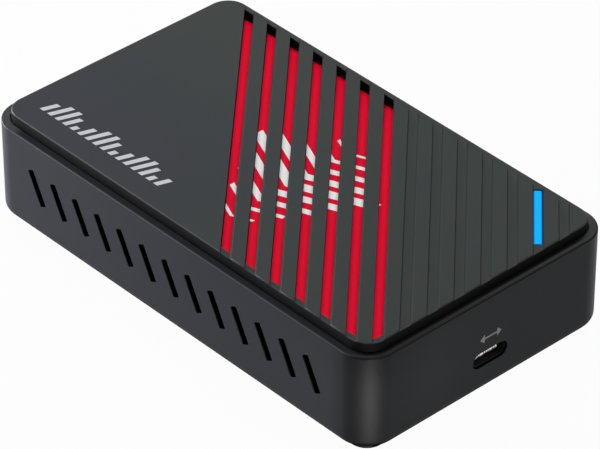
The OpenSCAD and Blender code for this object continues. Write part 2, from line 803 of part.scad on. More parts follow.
base_shell();
upper_deck();
inlay_panel();
top_cover();
light_pipe();
main_board();
usb_shell();
usb_tongue();
usb_contacts();
hdmi_shell(-1);  // hdmi_in_shell
hdmi_tongue(-1);  // hdmi_in_tongue
hdmi_contacts(-1);  // hdmi_in_contacts
hdmi_shell(1);  // hdmi_out_shell
hdmi_tongue(1);  // hdmi_out_tongue
hdmi_contacts(1);  // hdmi_out_contacts
video_processor();
thermal_pad();
heat_sink();
chip(bridge_x, 0, bridge_side, bridge_side, chip_h);  // usb_bridge
chip(receiver_x, -hdmi_y, receiver_side, receiver_side, chip_h);  // video_receiver
chip(splitter_x, hdmi_y, splitter_side, splitter_side, chip_h);  // video_splitter
chip(memory_x, -memory_y, memory_w, memory_l, chip_h);  // memory_chip_1
chip(memory_x, memory_y, memory_w, memory_l, chip_h);  // memory_chip_2
chip(memory_x, -power_y, flash_l, flash_w, chip_h);  // flash_chip
crystal();
inductor(1);  // inductor_1
inductor(2);  // inductor_2
inductor(3);  // inductor_3
capacitor(1);  // capacitor_1
capacitor(2);  // capacitor_2
status_led(-1);  // status_led_1
status_led(1);  // status_led_2
board_screws();
case_screws();
foot(-1, -1);  // foot_front_left
foot(1, -1);  // foot_front_right
foot(-1, 1);  // foot_back_left
foot(1, 1);  // foot_back_right
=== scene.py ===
"""Looks of a video capture box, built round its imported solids.

The tub, the deck, the cover, the light bar and the socket shells are eased copies of the solids.
The chevrons on the inlay, the bars on the cover and the contacts in the sockets are geometry nodes.
Every other solid keeps its own mesh and gets a finish.
"""

import logging
import math
from dataclasses import dataclass
from enum import Enum
from typing import Optional, Union

import bmesh
import bpy
from bpy.types import ID, Material, Mesh, NodeSocket, NodeTree, Object
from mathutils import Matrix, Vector


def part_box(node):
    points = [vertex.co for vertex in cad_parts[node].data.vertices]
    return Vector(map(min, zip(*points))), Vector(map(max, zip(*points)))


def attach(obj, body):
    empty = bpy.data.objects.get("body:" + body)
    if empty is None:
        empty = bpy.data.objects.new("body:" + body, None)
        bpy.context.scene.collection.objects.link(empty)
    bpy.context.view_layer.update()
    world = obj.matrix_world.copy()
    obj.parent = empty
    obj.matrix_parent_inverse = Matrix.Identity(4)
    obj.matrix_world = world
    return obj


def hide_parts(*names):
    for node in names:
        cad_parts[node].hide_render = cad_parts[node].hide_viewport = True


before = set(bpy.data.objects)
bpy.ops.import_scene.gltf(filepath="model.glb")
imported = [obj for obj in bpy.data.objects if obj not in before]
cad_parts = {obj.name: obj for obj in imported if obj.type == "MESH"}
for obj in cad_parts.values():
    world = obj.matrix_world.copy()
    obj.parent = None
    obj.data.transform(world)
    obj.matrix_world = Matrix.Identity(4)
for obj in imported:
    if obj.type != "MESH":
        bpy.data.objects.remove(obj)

LOG = logging.getLogger("capture_box")
MM = 0.001

Colour = tuple[float, float, float]
Point = tuple[float, float, float]
Span = tuple[float, float]


class Body(Enum):
    """The bodies that a piece can ride on."""

    HOUSING = "housing"
    COVER = "cover"


class Sum(Enum):
    """The sums and functions that values in a node tree go through."""

    ADD = "ADD"
    SUBTRACT = "SUBTRACT"
    MULTIPLY = "MULTIPLY"
    DIVIDE = "DIVIDE"
    ABSOLUTE = "ABSOLUTE"
    COMPARE = "COMPARE"
    FLOORED_MODULO = "FLOORED_MODULO"
    GREATER_THAN = "GREATER_THAN"
    MAXIMUM = "MAXIMUM"
    MINIMUM = "MINIMUM"
    MODULO = "MODULO"
    SINE = "SINE"
    SQRT = "SQRT"


@dataclass(frozen=True)
class Signal:
    """An output socket that takes part in Python arithmetic, with a Math node for each step."""

    graph: "NodeGraph"
    socket: NodeSocket

    def __add__(self, other: "Value") -> "Signal":
        """Give this value plus another."""
        return self.graph.math(Sum.ADD, self, other)

    __radd__ = __add__

    def __sub__(self, other: "Value") -> "Signal":
        """Give this value less another."""
        return self.graph.math(Sum.SUBTRACT, self, other)

    def __rsub__(self, other: "Value") -> "Signal":
        """Give another value less this one."""
        return self.graph.math(Sum.SUBTRACT, other, self)

    def __mul__(self, other: "Value") -> "Signal":
        """Give this value times another."""
        return self.graph.math(Sum.MULTIPLY, self, other)

    def __truediv__(self, other: "Value") -> "Signal":
        """Give this value over another."""
        return self.graph.math(Sum.DIVIDE, self, other)


Key = Union[int, str]
Value = Union[Signal, float]
Tint = Union[Signal, Colour]
Feed = Union[Signal, float, int, bool, str, tuple, Material, Vector]


def find_socket(sockets: bpy.types.bpy_prop_collection, key: Key) -> NodeSocket:
    """Find a socket of a node.

    Args:
        sockets: the node's inputs or outputs.
        key: the socket's place, its identifier, or the name of one that is in use.

    Returns:
        The socket.
    """
    if isinstance(key, int):
        return sockets[key]
    for socket in sockets:
        if socket.identifier == key:
            return socket
    return next(socket for socket in sockets if socket.name == key and socket.enabled)


class NodeGraph:
    """A node tree that is written as Python expressions."""

    def __init__(self, tree: NodeTree) -> None:
        """Take over a tree and empty it."""
        self.tree = tree
        tree.nodes.clear()

    def feed(self, socket: NodeSocket, value: Feed) -> None:
        """Link a signal to an input socket, or set a plain value on it.

        Args:
            socket: the input socket.
            value: the signal or the plain value.
        """
        if isinstance(value, Signal):
            self.tree.links.new(value.socket, socket)
        else:
            socket.default_value = value

    def node(
        self,
        kind: str,
        settings: Optional[dict[str, object]] = None,
        inputs: Optional[dict[Key, Feed]] = None,
        output: Key = 0,
    ) -> Signal:
        """Add a node.

        Args:
            kind: the node's type.
            settings: the node's own settings, which are set first.
            inputs: the values or links of its sockets, by place, name or identifier.
            output: the output that is wanted, by place, name or identifier.

        Returns:
            The wanted output.
        """
        made = self.tree.nodes.new(kind)
        for name, value in (settings or {}).items():
            setattr(made, name, value)
        for key, value in (inputs or {}).items():
            self.feed(find_socket(made.inputs, key), value)
        return Signal(self, find_socket(made.outputs, output))

    def math(self, operation: Sum, *values: Value) -> Signal:
        """Add a Math node for a sum or a function of values."""
        return self.node("ShaderNodeMath", {"operation": operation.value}, dict(enumerate(values)))

    def between(self, value: Value, low: float, high: float) -> Signal:
        """Give a smooth step from 0 at low to 1 at high."""
        settings = {"interpolation_type": "SMOOTHSTEP"}
        inputs = {"Value": value, "From Min": low, "From Max": high}
        return self.node("ShaderNodeMapRange", settings, inputs)

    def split(self, vector: Signal) -> tuple[Signal, Signal, Signal]:
        """Give a vector's X, Y and Z as values."""
        outputs = self.node("ShaderNodeSeparateXYZ", inputs={"Vector": vector}).socket.node.outputs
        return Signal(self, outputs["X"]), Signal(self, outputs["Y"]), Signal(self, outputs["Z"])

    def join(self, x: Value = 0.0, y: Value = 0.0, z: Value = 0.0) -> Signal:
        """Give a vector of three values."""
        return self.node("ShaderNodeCombineXYZ", inputs={"X": x, "Y": y, "Z": z})

    def vector(self, operation: Sum, first: Feed, second: Feed) -> Signal:
        """Add a Vector Math node for one sum of two vectors."""
        settings = {"operation": operation.value}
        return self.node("ShaderNodeVectorMath", settings, {0: first, 1: second})


class ShaderGraph(NodeGraph):
    """The node tree of one material."""

    def __init__(self, name: str) -> None:
        """Start an empty material with Object coordinates."""
        self.material = bpy.data.materials.new(name)
        self.material.use_nodes = True
        super().__init__(self.material.node_tree)
        self.place = self.node("ShaderNodeTexCoord", output="Object")
        self.x, self.y, self.z = self.split(self.place)

    def noise(self, grain: float, detail: float = 2.0, stretch: Point = (1.0, 1.0, 1.0)) -> Signal:
        """Give a noise from about 0 to 1.

        Args:
            grain: the size of its grains, in metres.
            detail: how many finer layers it has.
            stretch: how much the place is scaled along each axis before the noise.

        Returns:
            The noise's value.
        """
        mapped = self.node("ShaderNodeMapping", inputs={"Vector": self.place, "Scale": stretch})
        inputs = {"Vector": mapped, "Scale": 1.0 / grain, "Detail": detail}
        return self.node("ShaderNodeTexNoise", inputs=inputs, output="Fac")

    def mix(self, share: Value, first: Tint, second: Tint) -> Signal:
        """Give a colour between two others: the first at share 0 and the second at 1."""
        ends = [end if isinstance(end, Signal) else (*end, 1.0) for end in (first, second)]
        inputs = {"Factor_Float": share, "A_Color": ends[0], "B_Color": ends[1]}
        return self.node("ShaderNodeMix", {"data_type": "RGBA"}, inputs, "Result_Color")

    def skin(self, sockets: dict[str, Feed]) -> Signal:
        """Give the shader of a surface, from its values and links by name."""
        return self.node("ShaderNodeBsdfPrincipled", inputs=sockets, output="BSDF")

    def close(self, shader: Signal) -> Material:
        """Lead a shader to the material's output and give the material."""
        output = self.tree.nodes.new("ShaderNodeOutputMaterial")
        self.tree.links.new(shader.socket, output.inputs["Surface"])
        return self.material


class GeometryGraph(NodeGraph):
    """A geometry tree with named inputs, which is baked into a plain mesh."""

    def __init__(self, name: str) -> None:
        """Start an empty tree with one geometry output."""
        super().__init__(bpy.data.node_groups.new(name, "GeometryNodeTree"))
        sockets = self.tree.interface
        sockets.new_socket("Geometry", in_out="OUTPUT", socket_type="NodeSocketGeometry")
        self.identifiers: dict[str, str] = {}
        self.group_input = self.tree.nodes.new("NodeGroupInput")

    def input(self, name: str, kind: str = "Float") -> Signal:
        """Add a named input of a kind, such as Float, Int, Vector or Material."""
        made = self.tree.interface.new_socket(name, in_out="INPUT", socket_type="NodeSocket" + kind)
        self.identifiers[name] = made.identifier
        return Signal(self, find_socket(self.group_input.outputs, made.identifier))

    def floats(self, *names: str) -> tuple[Signal, ...]:
        """Add several named inputs of kind Float."""
        return tuple(self.input(name) for name in names)

    def row(self, count: Signal, start: Signal, step: Signal) -> Signal:
        """Give a row of points at equal steps from a start."""
        inputs = {"Count": count, "Start Location": start, "Offset": step}
        return self.node("GeometryNodeMeshLine", inputs=inputs)

    def stamp(self, points: Signal, instance: Signal, scale: Signal) -> Signal:
        """Give an instance on each point, at its own scale."""
        inputs = {"Points": points, "Instance": instance, "Scale": scale}
        return self.node("GeometryNodeInstanceOnPoints", inputs=inputs)

    def real(self, instances: Signal) -> Signal:
        """Turn instances into plain geometry."""
        return self.node("GeometryNodeRealizeInstances", inputs={"Geometry": instances})

    def moved(self, geometry: Signal, move: Signal, socket: str = "Offset") -> Signal:
        """Move a geometry's points by an Offset, or each to a Position."""
        return self.node("GeometryNodeSetPosition", inputs={"Geometry": geometry, socket: move})

    def finish(self, geometry: Signal, material: Signal) -> None:
        """End the tree in Realize Instances and Set Material.

        Args:
            geometry: what the tree has made.
            material: its finish.
        """
        inputs = {"Geometry": self.real(geometry), "Material": material}
        dressed = self.node("GeometryNodeSetMaterial", inputs=inputs)
        output = self.tree.nodes.new("NodeGroupOutput")
        self.tree.links.new(dressed.socket, output.inputs["Geometry"])

    def bake(self, name: str, values: dict[str, Feed]) -> Object:
        """Run the tree once and keep its result as a plain mesh.

        Args:
            name: the new piece's name.
            values: the tree's inputs, by name.

        Returns:
            The piece, at the origin, with no modifier.
        """
        piece = new_object(name, bpy.data.meshes.new(name))
        modifier = piece.modifiers.new("pattern", "NODES")
        modifier.node_group = self.tree
        for key, value in values.items():
            modifier[self.identifiers[key]] = value
        bake_modifiers(piece)
        return piece


def scaled(parts: tuple[float, ...], share: float) -> tuple[float, ...]:
    """Give each part of a tone or a span times a share."""
    return tuple(part * share for part in parts)


def new_object(name: str, data: ID) -> Object:
    """Put a mesh, a lamp or a camera into the scene as an object at the origin."""
    made = bpy.data.objects.new(name, data)
    bpy.context.scene.collection.objects.link(made)
    return made


def point(piece: Object, place: Point, aim: Point) -> None:
    """Put a lamp or a camera in its place and turn it to its aim.

    Args:
        piece: the lamp or the camera.
        place: where it stands.
        aim: the spot that it faces.
    """
    piece.location = place
    piece.rotation_mode = "QUATERNION"
    piece.rotation_quaternion = (Vector(aim) - Vector(place)).to_track_quat("-Z", "Y")


def depth_inside(spot: Vector, half_length: float, half_width: float, corner: float) -> float:
    """Measure how far a spot lies inside a rectangle with round corners, in plan.

    Args:
        spot: the spot.
        half_length: half of the rectangle's length, along X.
        half_width: half of its width, along Y.
        corner: the radius of its corners.

    Returns:
        The distance to the outline, in metres.
    """
    past_x = abs(spot.x) - (half_length - corner)
    past_y = abs(spot.y) - (half_width - corner)
    arc = math.hypot(max(past_x, 0.0), max(past_y, 0.0))
    return corner - arc - min(max(past_x, past_y), 0.0)


def bake_modifiers(piece: Object) -> None:
    """Turn an object's modifiers into its plain mesh.

    Args:
        piece: the object.
    """
    depsgraph = bpy.context.evaluated_depsgraph_get()
    baked = bpy.data.meshes.new_from_object(piece.evaluated_get(depsgraph))
    piece.modifiers.clear()
    piece.data = baked
    baked.name = piece.name


def lay_in_frame(piece: Object, body: Body, slot: str, *nodes: str) -> None:
    """Hang a finished piece on its body and hide the solids that it stands for.

    Args:
        piece: the piece.
        body: the body that it rides on.
        slot: not used.
        nodes: the solids that it stands for.
    """
    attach(piece, body.value)
    if nodes:
        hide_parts(*nodes)
    LOG.info("%s: %d faces, rides on %s", piece.name, len(piece.data.polygons), body.value)


@dataclass(frozen=True)
class Easing:
    """How a copied solid gets the small round edges of a moulded or pressed piece."""

    width: float
    segments: int = 2
    sharp: float = math.radians(28.0)
    flat: float = math.radians(0.6)
    weld: float = 0.002 * MM

    def copy(self, node: str, name: str, material: Material) -> Object:
        """Copy a solid, weld it, round its sharp edges and shade it smooth.

        Args:
            node: the solid's name.
            name: the new piece's name.
            material: its finish.

        Returns:
            The eased piece.
        """
        form = bmesh.new()
        form.from_mesh(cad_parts[node].data)
        bmesh.ops.remove_doubles(form, verts=form.verts, dist=self.weld)
        bmesh.ops.dissolve_limit(form, angle_limit=self.flat, verts=form.verts, edges=form.edges)
        mesh = bpy.data.meshes.new(name)
        form.to_mesh(mesh)
        form.free()
        if "custom_normal" in mesh.attributes:
            mesh.attributes.remove(mesh.attributes["custom_normal"])
        mesh.materials.clear()
        mesh.materials.append(material)
        piece = new_object(name, mesh)
        bevel = piece.modifiers.new("edges", "BEVEL")
        bevel.width = self.width
        bevel.segments = self.segments
        bevel.limit_method = "ANGLE"
        bevel.angle_limit = self.sharp
        bevel.use_clamp_overlap = True
        bake_modifiers(piece)
        piece.data.shade_smooth()
        piece.data.set_sharp_from_angle(angle=self.sharp)
        weighted = piece.modifiers.new("shading", "WEIGHTED_NORMAL")
        weighted.keep_sharp = True
        bake_modifiers(piece)
        return piece


@dataclass(frozen=True)
class Finish:
    """A surface whose tone and gloss follow a fine pattern and broad clouds.

    shares and swings say how much each of the two changes the tone and the roughness. extent is
    what the tone is multiplied by at its two ends.
    """

    name: str
    tone: Colour
    fine: float = 0.22 * MM
    fine_detail: float = 3.0
    fine_edge: Optional[Span] = None
    stretch: Point = (1.0, 1.0, 1.0)
    cloud: float = 9.0 * MM
    cloud_detail: float = 2.0
    cloud_edge: Optional[Span] = None
    extent: Span = (0.85, 1.0)
    shares: Span = (0.5, 0.5)
    swings: Span = (0.16, 0.0)
    roughness: float = 0.5
    metallic: float = 0.0
    specular: float = 0.5
    depth: float = 0.012 * MM

    def material(self) -> Material:
        """Make the finish.

        Returns:
            The material.
        """
        graph = ShaderGraph(self.name)
        fine = self.pattern(graph)
        cloud = graph.noise(self.cloud, self.cloud_detail)
        fine_step = graph.between(fine, *self.fine_edge) if self.fine_edge else fine
        cloud_step = graph.between(cloud, *self.cloud_edge) if self.cloud_edge else cloud
        share = fine_step * self.shares[0] + cloud_step * self.shares[1]
        colour = self.shade(graph, graph.mix(share, *self.tones()))
        least = self.roughness - sum(self.swings) / 2
        normal = {"Height": fine, "Distance": self.depth}
        skin = graph.skin({
            "Base Color": colour,
            "Metallic": self.metallic,
            "Roughness": fine * self.swings[0] + cloud * self.swings[1] + least,
            "Specular IOR Level": self.specular,
            "Normal": graph.node("ShaderNodeBump", inputs=normal),
        })
        dull = self.dull(graph)
        if dull is None:
            return graph.close(skin)
        matte = graph.node("ShaderNodeBsdfDiffuse", inputs={"Color": colour})
        return graph.close(graph.node("ShaderNodeMixShader", inputs={0: dull, 1: skin, 2: matte}))

    def pattern(self, graph: ShaderGraph) -> Signal:
        """Give the fine pattern, a noise unless the finish has its own."""
        return graph.noise(self.fine, self.fine_detail, self.stretch)

    def tones(self) -> tuple[Colour, Colour]:
        """Give the two tones that the surface changes between."""
        return scaled(self.tone, self.extent[0]), scaled(self.tone, self.extent[1])

    def shade(self, graph: ShaderGraph, colour: Signal) -> Signal:
        """Give the colour as it is; a moulding may change it from place to place."""
        return colour

    def dull(self, graph: ShaderGraph) -> Optional[Signal]:
        """Give the share that has no shine, if any; a moulding may have such places."""
        return None


@dataclass(frozen=True)
class MouldedPlastic(Finish):
    """Matte moulded plastic with a fine grain and faint clouds."""

    extent: Span = (0.84, 1.16)
    shares: Span = (0.6, 0.4)
    swings: Span = (0.14, 0.06)
    specular: float = 0.1


@dataclass(frozen=True)
class HollowMoulding(MouldedPlastic):
    """Moulded plastic of an open box with round corners, with painted shade that blackens it inside
    and in its cut-outs, and painted light and shade on its rim and front corner.
    """

    half_length: float = 0.0
    half_width: float = 0.0
    corner: float = 0.0
    underside: float = 0.0
    floor_top: float = 0.0
    rim: float = 0.0
    # painted shade: the inside of the tub and its cut-outs are blackened
    inside_shade_tone: Colour = (0.001, 0.001, 0.0012)
    # painted shade on the rim's ledge, where the cover shadows it
    ledge_shade_tone: Colour = (0.0125, 0.013, 0.0155)
    # painted highlight along the rim's rounded outer edge
    edge_highlight_tone: Colour = (0.036, 0.037, 0.041)
    # painted light on the rim's ledge at the +X end, brighter towards +Y
    end_light_tone: Colour = (0.0225, 0.0225, 0.023)
    far_end_light_tone: Colour = (0.036, 0.0365, 0.0375)
    # painted shade: a dark line on the rim's outer edge at the +X end
    end_edge_shade_tone: Colour = (0.018, 0.018, 0.0185)
    # painted light on the ledge round the +X +Y and -X -Y corners
    open_corner_light_tone: Colour = (0.044, 0.0445, 0.0455)
    shaded_tone: Colour = (0.0195, 0.0205, 0.0238)
    # painted shadow cast by the cover on the inner part of the ledge at the +X end
    nook_shadow_tone: Colour = (0.0065, 0.0065, 0.007)
    nook_depth: float = 0.9 * MM
    nook_blend: float = 0.4 * MM
    edge_width: float = 0.22 * MM
    skin: float = 0.12 * MM
    blend: float = 0.2 * MM
    rim_depth: Span = (0.3 * MM, 0.2 * MM)
    end_turn: Span = (1.0, 0.4)
    open_spans: tuple[Span, Span] = ((1.0, 1.5), (0.6, 1.3))
    shaded_spans: tuple[Span, Span] = ((0.95, 1.6), (0.9, 3.0))
    foot_low: float = 1.0 * MM
    foot_high: float = 2.0 * MM

    def _depth(self, graph: ShaderGraph) -> Signal:
        """Give the distance in from the box's outline, in plan.

        Args:
            graph: the material's tree.

        Returns:
            The distance, in metres.
        """
        past_x = graph.math(Sum.ABSOLUTE, graph.x) - (self.half_length - self.corner)
        past_y = graph.math(Sum.ABSOLUTE, graph.y) - (self.half_width - self.corner)
        round_x = graph.math(Sum.MAXIMUM, past_x, 0.0)
        round_y = graph.math(Sum.MAXIMUM, past_y, 0.0)
        arc = graph.math(Sum.SQRT, round_x * round_x + round_y * round_y)
        flat = graph.math(Sum.MINIMUM, graph.math(Sum.MAXIMUM, past_x, past_y), 0.0)
        return self.corner - arc - flat

    def _inside(self, graph: ShaderGraph) -> Signal:
        """Give 1 behind the outer skin and above the floor, and 0 outside."""
        behind = graph.between(self._depth(graph), self.skin, self.skin + self.blend)
        return behind * graph.between(graph.z, self.floor_top - self.blend, self.floor_top)

    def _at_rim(self, graph: ShaderGraph) -> Signal:
        """Give 1 on the rim and 0 below it."""
        return graph.between(self.rim - graph.z, *self.rim_depth)

    def _at_end(self, graph: ShaderGraph) -> Signal:
        """Give 1 along the +X end and 0 along the sides, with a soft change round the corners."""
        return graph.between(self.half_length - graph.x, *scaled(self.end_turn, self.corner))

    def _near(
        self, graph: ShaderGraph, place: tuple[Signal, Signal], spans: tuple[Span, Span],
    ) -> Signal:
        """Give 1 near a corner and 0 away from it.

        Args:
            graph: the material's tree.
            place: the distances in from the corner's two sides.
            spans: where each distance's share fades, in corner radii.

        Returns:
            The share.
        """
        past = [graph.between(way, *scaled(span, self.corner)) for way, span in zip(place, spans)]
        return (1.0 - past[0]) * (1.0 - past[1])

    def _at_open_corners(self, graph: ShaderGraph) -> Signal:
        """Give 1 round the +X +Y and -X -Y corners, whose ledges lie in open light.

        Args:
            graph: the material's tree.

        Returns:
            The share.
        """
        from_x = self.half_length - graph.math(Sum.ABSOLUTE, graph.x)
        from_y = self.half_width - graph.math(Sum.ABSOLUTE, graph.y)
        same_sign = graph.math(Sum.GREATER_THAN, graph.x * graph.y, 0.0)
        return self._near(graph, (from_x, from_y), self.open_spans) * same_sign

    def _at_shaded_corner(self, graph: ShaderGraph) -> Signal:
        """Give 1 round the +X -Y corner, which faces away from the broad lights."""
        place = (self.half_length - graph.x, self.half_width + graph.y)
        return self._near(graph, place, self.shaded_spans)

    def shade(self, graph: ShaderGraph, colour: Signal) -> Signal:
        """Paint shade that blackens what lies behind the outer skin and darkens the front corner,
        and paint light and shade on the rim's ledge and its outer edge.

        Args:
            graph: the material's tree.
            colour: the plain outer colour.

        Returns:
            The colour from place to place.
        """
        depth = self._depth(graph)
        on_ledge = graph.between(depth, self.edge_width, self.edge_width + self.blend)
        # painted highlight on the rim's outer edge and painted shade on its ledge along the sides
        side_rim_light_and_shade = graph.mix(on_ledge, self.edge_highlight_tone, self.ledge_shade_tone)
        # painted light on the +X end of the rim's ledge, growing towards +Y
        far = graph.between(graph.y, -self.half_width, self.half_width)
        end_rim_light = graph.mix(far, self.end_light_tone, self.far_end_light_tone)
        # painted shadow of the cover on the inner part of the +X end ledge
        in_nook_shadow = graph.between(depth, self.nook_depth, self.nook_depth + self.nook_blend)
        end_ledge_light_and_shadow = graph.mix(in_nook_shadow, end_rim_light, self.nook_shadow_tone)
        # painted shade line on the rim's outer edge at the +X end
        end = graph.mix(on_ledge, self.end_edge_shade_tone, end_ledge_light_and_shadow)
        rim_light_and_shade = graph.mix(self._at_end(graph), side_rim_light_and_shade, end)
        # painted light on the ledge at the open corners
        ledge = graph.mix(on_ledge * self._at_open_corners(graph), rim_light_and_shade, self.open_corner_light_tone)
        outer = graph.mix(self._at_shaded_corner(graph), colour, self.shaded_tone)
        # painted shade: blacken the walls behind the outer skin, inside the tub and the vents
        walls_with_shade = graph.mix(self._inside(graph), outer, self.inside_shade_tone)
        return graph.mix(self._at_rim(graph), walls_with_shade, ledge)

    def dull(self, graph: ShaderGraph) -> Signal:
        """Take the shine off the inside, the rim's +X end and the turn to the underside.

        Args:
            graph: the material's tree.

        Returns:
            The share that has no shine.
        """
        at_rim = self._at_rim(graph)
        low = self.underside + self.foot_low
        foot = 1.0 - graph.between(graph.z, low, self.underside + self.foot_high)
        hidden = self._inside(graph) * (1.0 - at_rim)
        low_or_hidden = graph.math(Sum.MAXIMUM, hidden, foot)
        return graph.math(Sum.MAXIMUM, low_or_hidden, at_rim * self._at_end(graph))


@dataclass(frozen=True)
class GradedMoulding(MouldedPlastic):
    """Moulded plastic that darkens towards its foot, where little light gets in."""

    foot: float = 0.0
    head: float = 1.0
    foot_tone: Colour = (0.0, 0.0, 0.0)

    def shade(self, graph: ShaderGraph, colour: Signal) -> Signal:
        """Darken the colour from the head down to the foot."""
        return graph.mix(graph.between(graph.z, self.foot, self.head), self.foot_tone, colour)


@dataclass(frozen=True)
class ChannelledMoulding(MouldedPlastic):
    """Moulded plastic with diagonal channels, with a painted shade line in each channel's square
    corner, painted shade on the slopes and painted shade on the ridges towards the right.
    """

    first: float = 0.0
    pitch: float = 1.0
    top: float = 0.0
    floor_width: float = 2.0 * MM
    slope_width: float = 0.35 * MM
    # painted shade on the channels' slopes
    slope_shade_tone: Colour = (0.0185, 0.0214, 0.0206)
    # painted shade: a dark line in each channel's square corner
    corner_shade_line_tone: Colour = (0.009, 0.0095, 0.0095)
    cool_tone: Colour = (0.0329, 0.0355, 0.0407)
    cool_fade: float = 20.0 * MM
    # painted shade: the ridges darken towards +X, where less light falls
    ridge_shade_tone: Colour = (0.0282, 0.0324, 0.0313)
    ridge_shade_share: float = 0.5
    ridge_shade_fade: float = 25.0 * MM
    shade_line_width: float = 0.21 * MM
    least_depth: float = 0.05 * MM
    blend: float = 0.06 * MM

    def shade(self, graph: ShaderGraph, colour: Signal) -> Signal:
        """Cool the near left part, paint shade on the right-hand ridges and on the slopes, and
        paint a shade line in each channel's corner.

        Args:
            graph: the material's tree.
            colour: the plain colour.

        Returns:
            The colour from place to place.
        """
        x, y, z = graph.x, graph.y, graph.z
        across = (x + y) * math.sqrt(0.5) - self.first
        from_corner = graph.math(Sum.FLOORED_MODULO, across, self.pitch)
        slope_end = self.floor_width + self.slope_width
        past_floor = graph.between(from_corner, self.floor_width - self.blend, self.floor_width)
        past_slope = graph.between(from_corner, slope_end, slope_end + self.blend)
        below_top = graph.between(self.top - z, 0.0, self.blend)
        on_slope = past_floor * (1.0 - past_slope) * below_top
        # painted shade line along each channel's square corner
        line = 1.0 - graph.between(from_corner, self.shade_line_width - self.blend, self.shade_line_width)
        sunk = graph.between(self.top - z, self.least_depth, self.least_depth + self.blend)
        cool_x = 1.0 - graph.between(x, -self.cool_fade, self.cool_fade)
        cool_y = 1.0 - graph.between(y, -self.cool_fade, self.cool_fade)
        cooled = graph.mix(cool_x * cool_y, colour, self.cool_tone)
        # painted shade on the ridges towards the right
        right = graph.between(x + y, 0.0, self.ridge_shade_fade) * (1.0 - below_top)
        plain = graph.mix(right * self.ridge_shade_share, cooled, self.ridge_shade_tone)
        # painted shade on the slopes
        slope_shaded = graph.mix(on_slope, plain, self.slope_shade_tone)
        return graph.mix(line * sunk, slope_shaded, self.corner_shade_line_tone)


@dataclass(frozen=True)
class PrintedSheet(Finish):
    """Printed plastic sheet: a solid ink with a fine screen of dots and a satin varnish."""

    fine: float = 0.3 * MM
    fine_edge: Optional[Span] = (0.1, 0.7)
    scatter: float = 0.35
    cloud: float = 7.0 * MM
    cloud_detail: float = 3.0
    extent: Span = (1.0, 0.86)
    swings: Span = (0.0, 0.16)
    roughness: float = 0.6
    specular: float = 0.03
    depth: float = 0.003 * MM

    def pattern(self, graph: ShaderGraph) -> Signal:
        """Give the screen of dots."""
        inputs = {"Vector": graph.place, "Scale": 1.0 / self.fine, "Randomness": self.scatter}
        return graph.node("ShaderNodeTexVoronoi", {"feature": "F1"}, inputs, "Distance")


@dataclass(frozen=True)
class PlatedMetal(Finish):
    """Plated or drawn metal with fine lines along one axis and a little tarnish."""

    fine: float = 0.05 * MM
    fine_detail: float = 2.0
    stretch: Point = (0.04, 1.0, 1.0)
    cloud: float = 3.0 * MM
    cloud_detail: float = 4.0
    extent: Span = (0.72, 1.0)
    shares: Span = (0.4, 0.6)
    swings: Span = (0.16, 0.12)
    roughness: float = 0.32
    metallic: float = 1.0
    depth: float = 0.002 * MM


@dataclass(frozen=True)
class SolderMask(Finish):
    """Circuit board laminate: solder mask over a faint pattern of copper tracks."""

    track: Colour = (0.02, 0.12, 0.05)
    fine: float = 1.6 * MM
    run: float = 4.8 * MM
    gap: float = 0.256 * MM
    cloud: float = 4.0 * MM
    cloud_detail: float = 3.0
    shares: Span = (0.6, 0.2)
    swings: Span = (0.0, 0.15)
    roughness: float = 0.375
    depth: float = 0.03 * MM

    def pattern(self, graph: ShaderGraph) -> Signal:
        """Give the tracks."""
        inputs = {"Vector": graph.place, "Scale": 1.0, "Mortar Size": self.gap,
                  "Brick Width": self.run, "Row Height": self.fine}
        return graph.node("ShaderNodeTexBrick", inputs=inputs, output="Fac")

    def tones(self) -> tuple[Colour, Colour]:
        """Give the mask's tone and the tracks'."""
        return self.tone, self.track


@dataclass(frozen=True)
class SoftRubber(Finish):
    """Soft rubber or silicone: a coarse matte skin with a little dust."""

    fine: float = 0.5 * MM
    fine_detail: float = 4.0
    cloud: float = 2.5 * MM
    cloud_detail: float = 5.0
    cloud_edge: Optional[Span] = (0.45, 0.75)
    dust_gain: float = 1.5
    dust_lift: float = 0.006
    shares: Span = (0.0, 1.0)
    swings: Span = (0.15, 0.0)
    roughness: float = 0.825
    specular: float = 0.08
    depth: float = 0.02 * MM

    def tones(self) -> tuple[Colour, Colour]:
        """Give the clean tone and the dusty one."""
        return self.tone, tuple(part * self.dust_gain + self.dust_lift for part in self.tone)


@dataclass(frozen=True)
class PrintedInk(Finish):
    """Thin printed or foiled ink, a little uneven."""

    fine: float = 0.12 * MM
    cloud: float = 5.0 * MM
    roughness: float = 0.45
    depth: float = 0.004 * MM


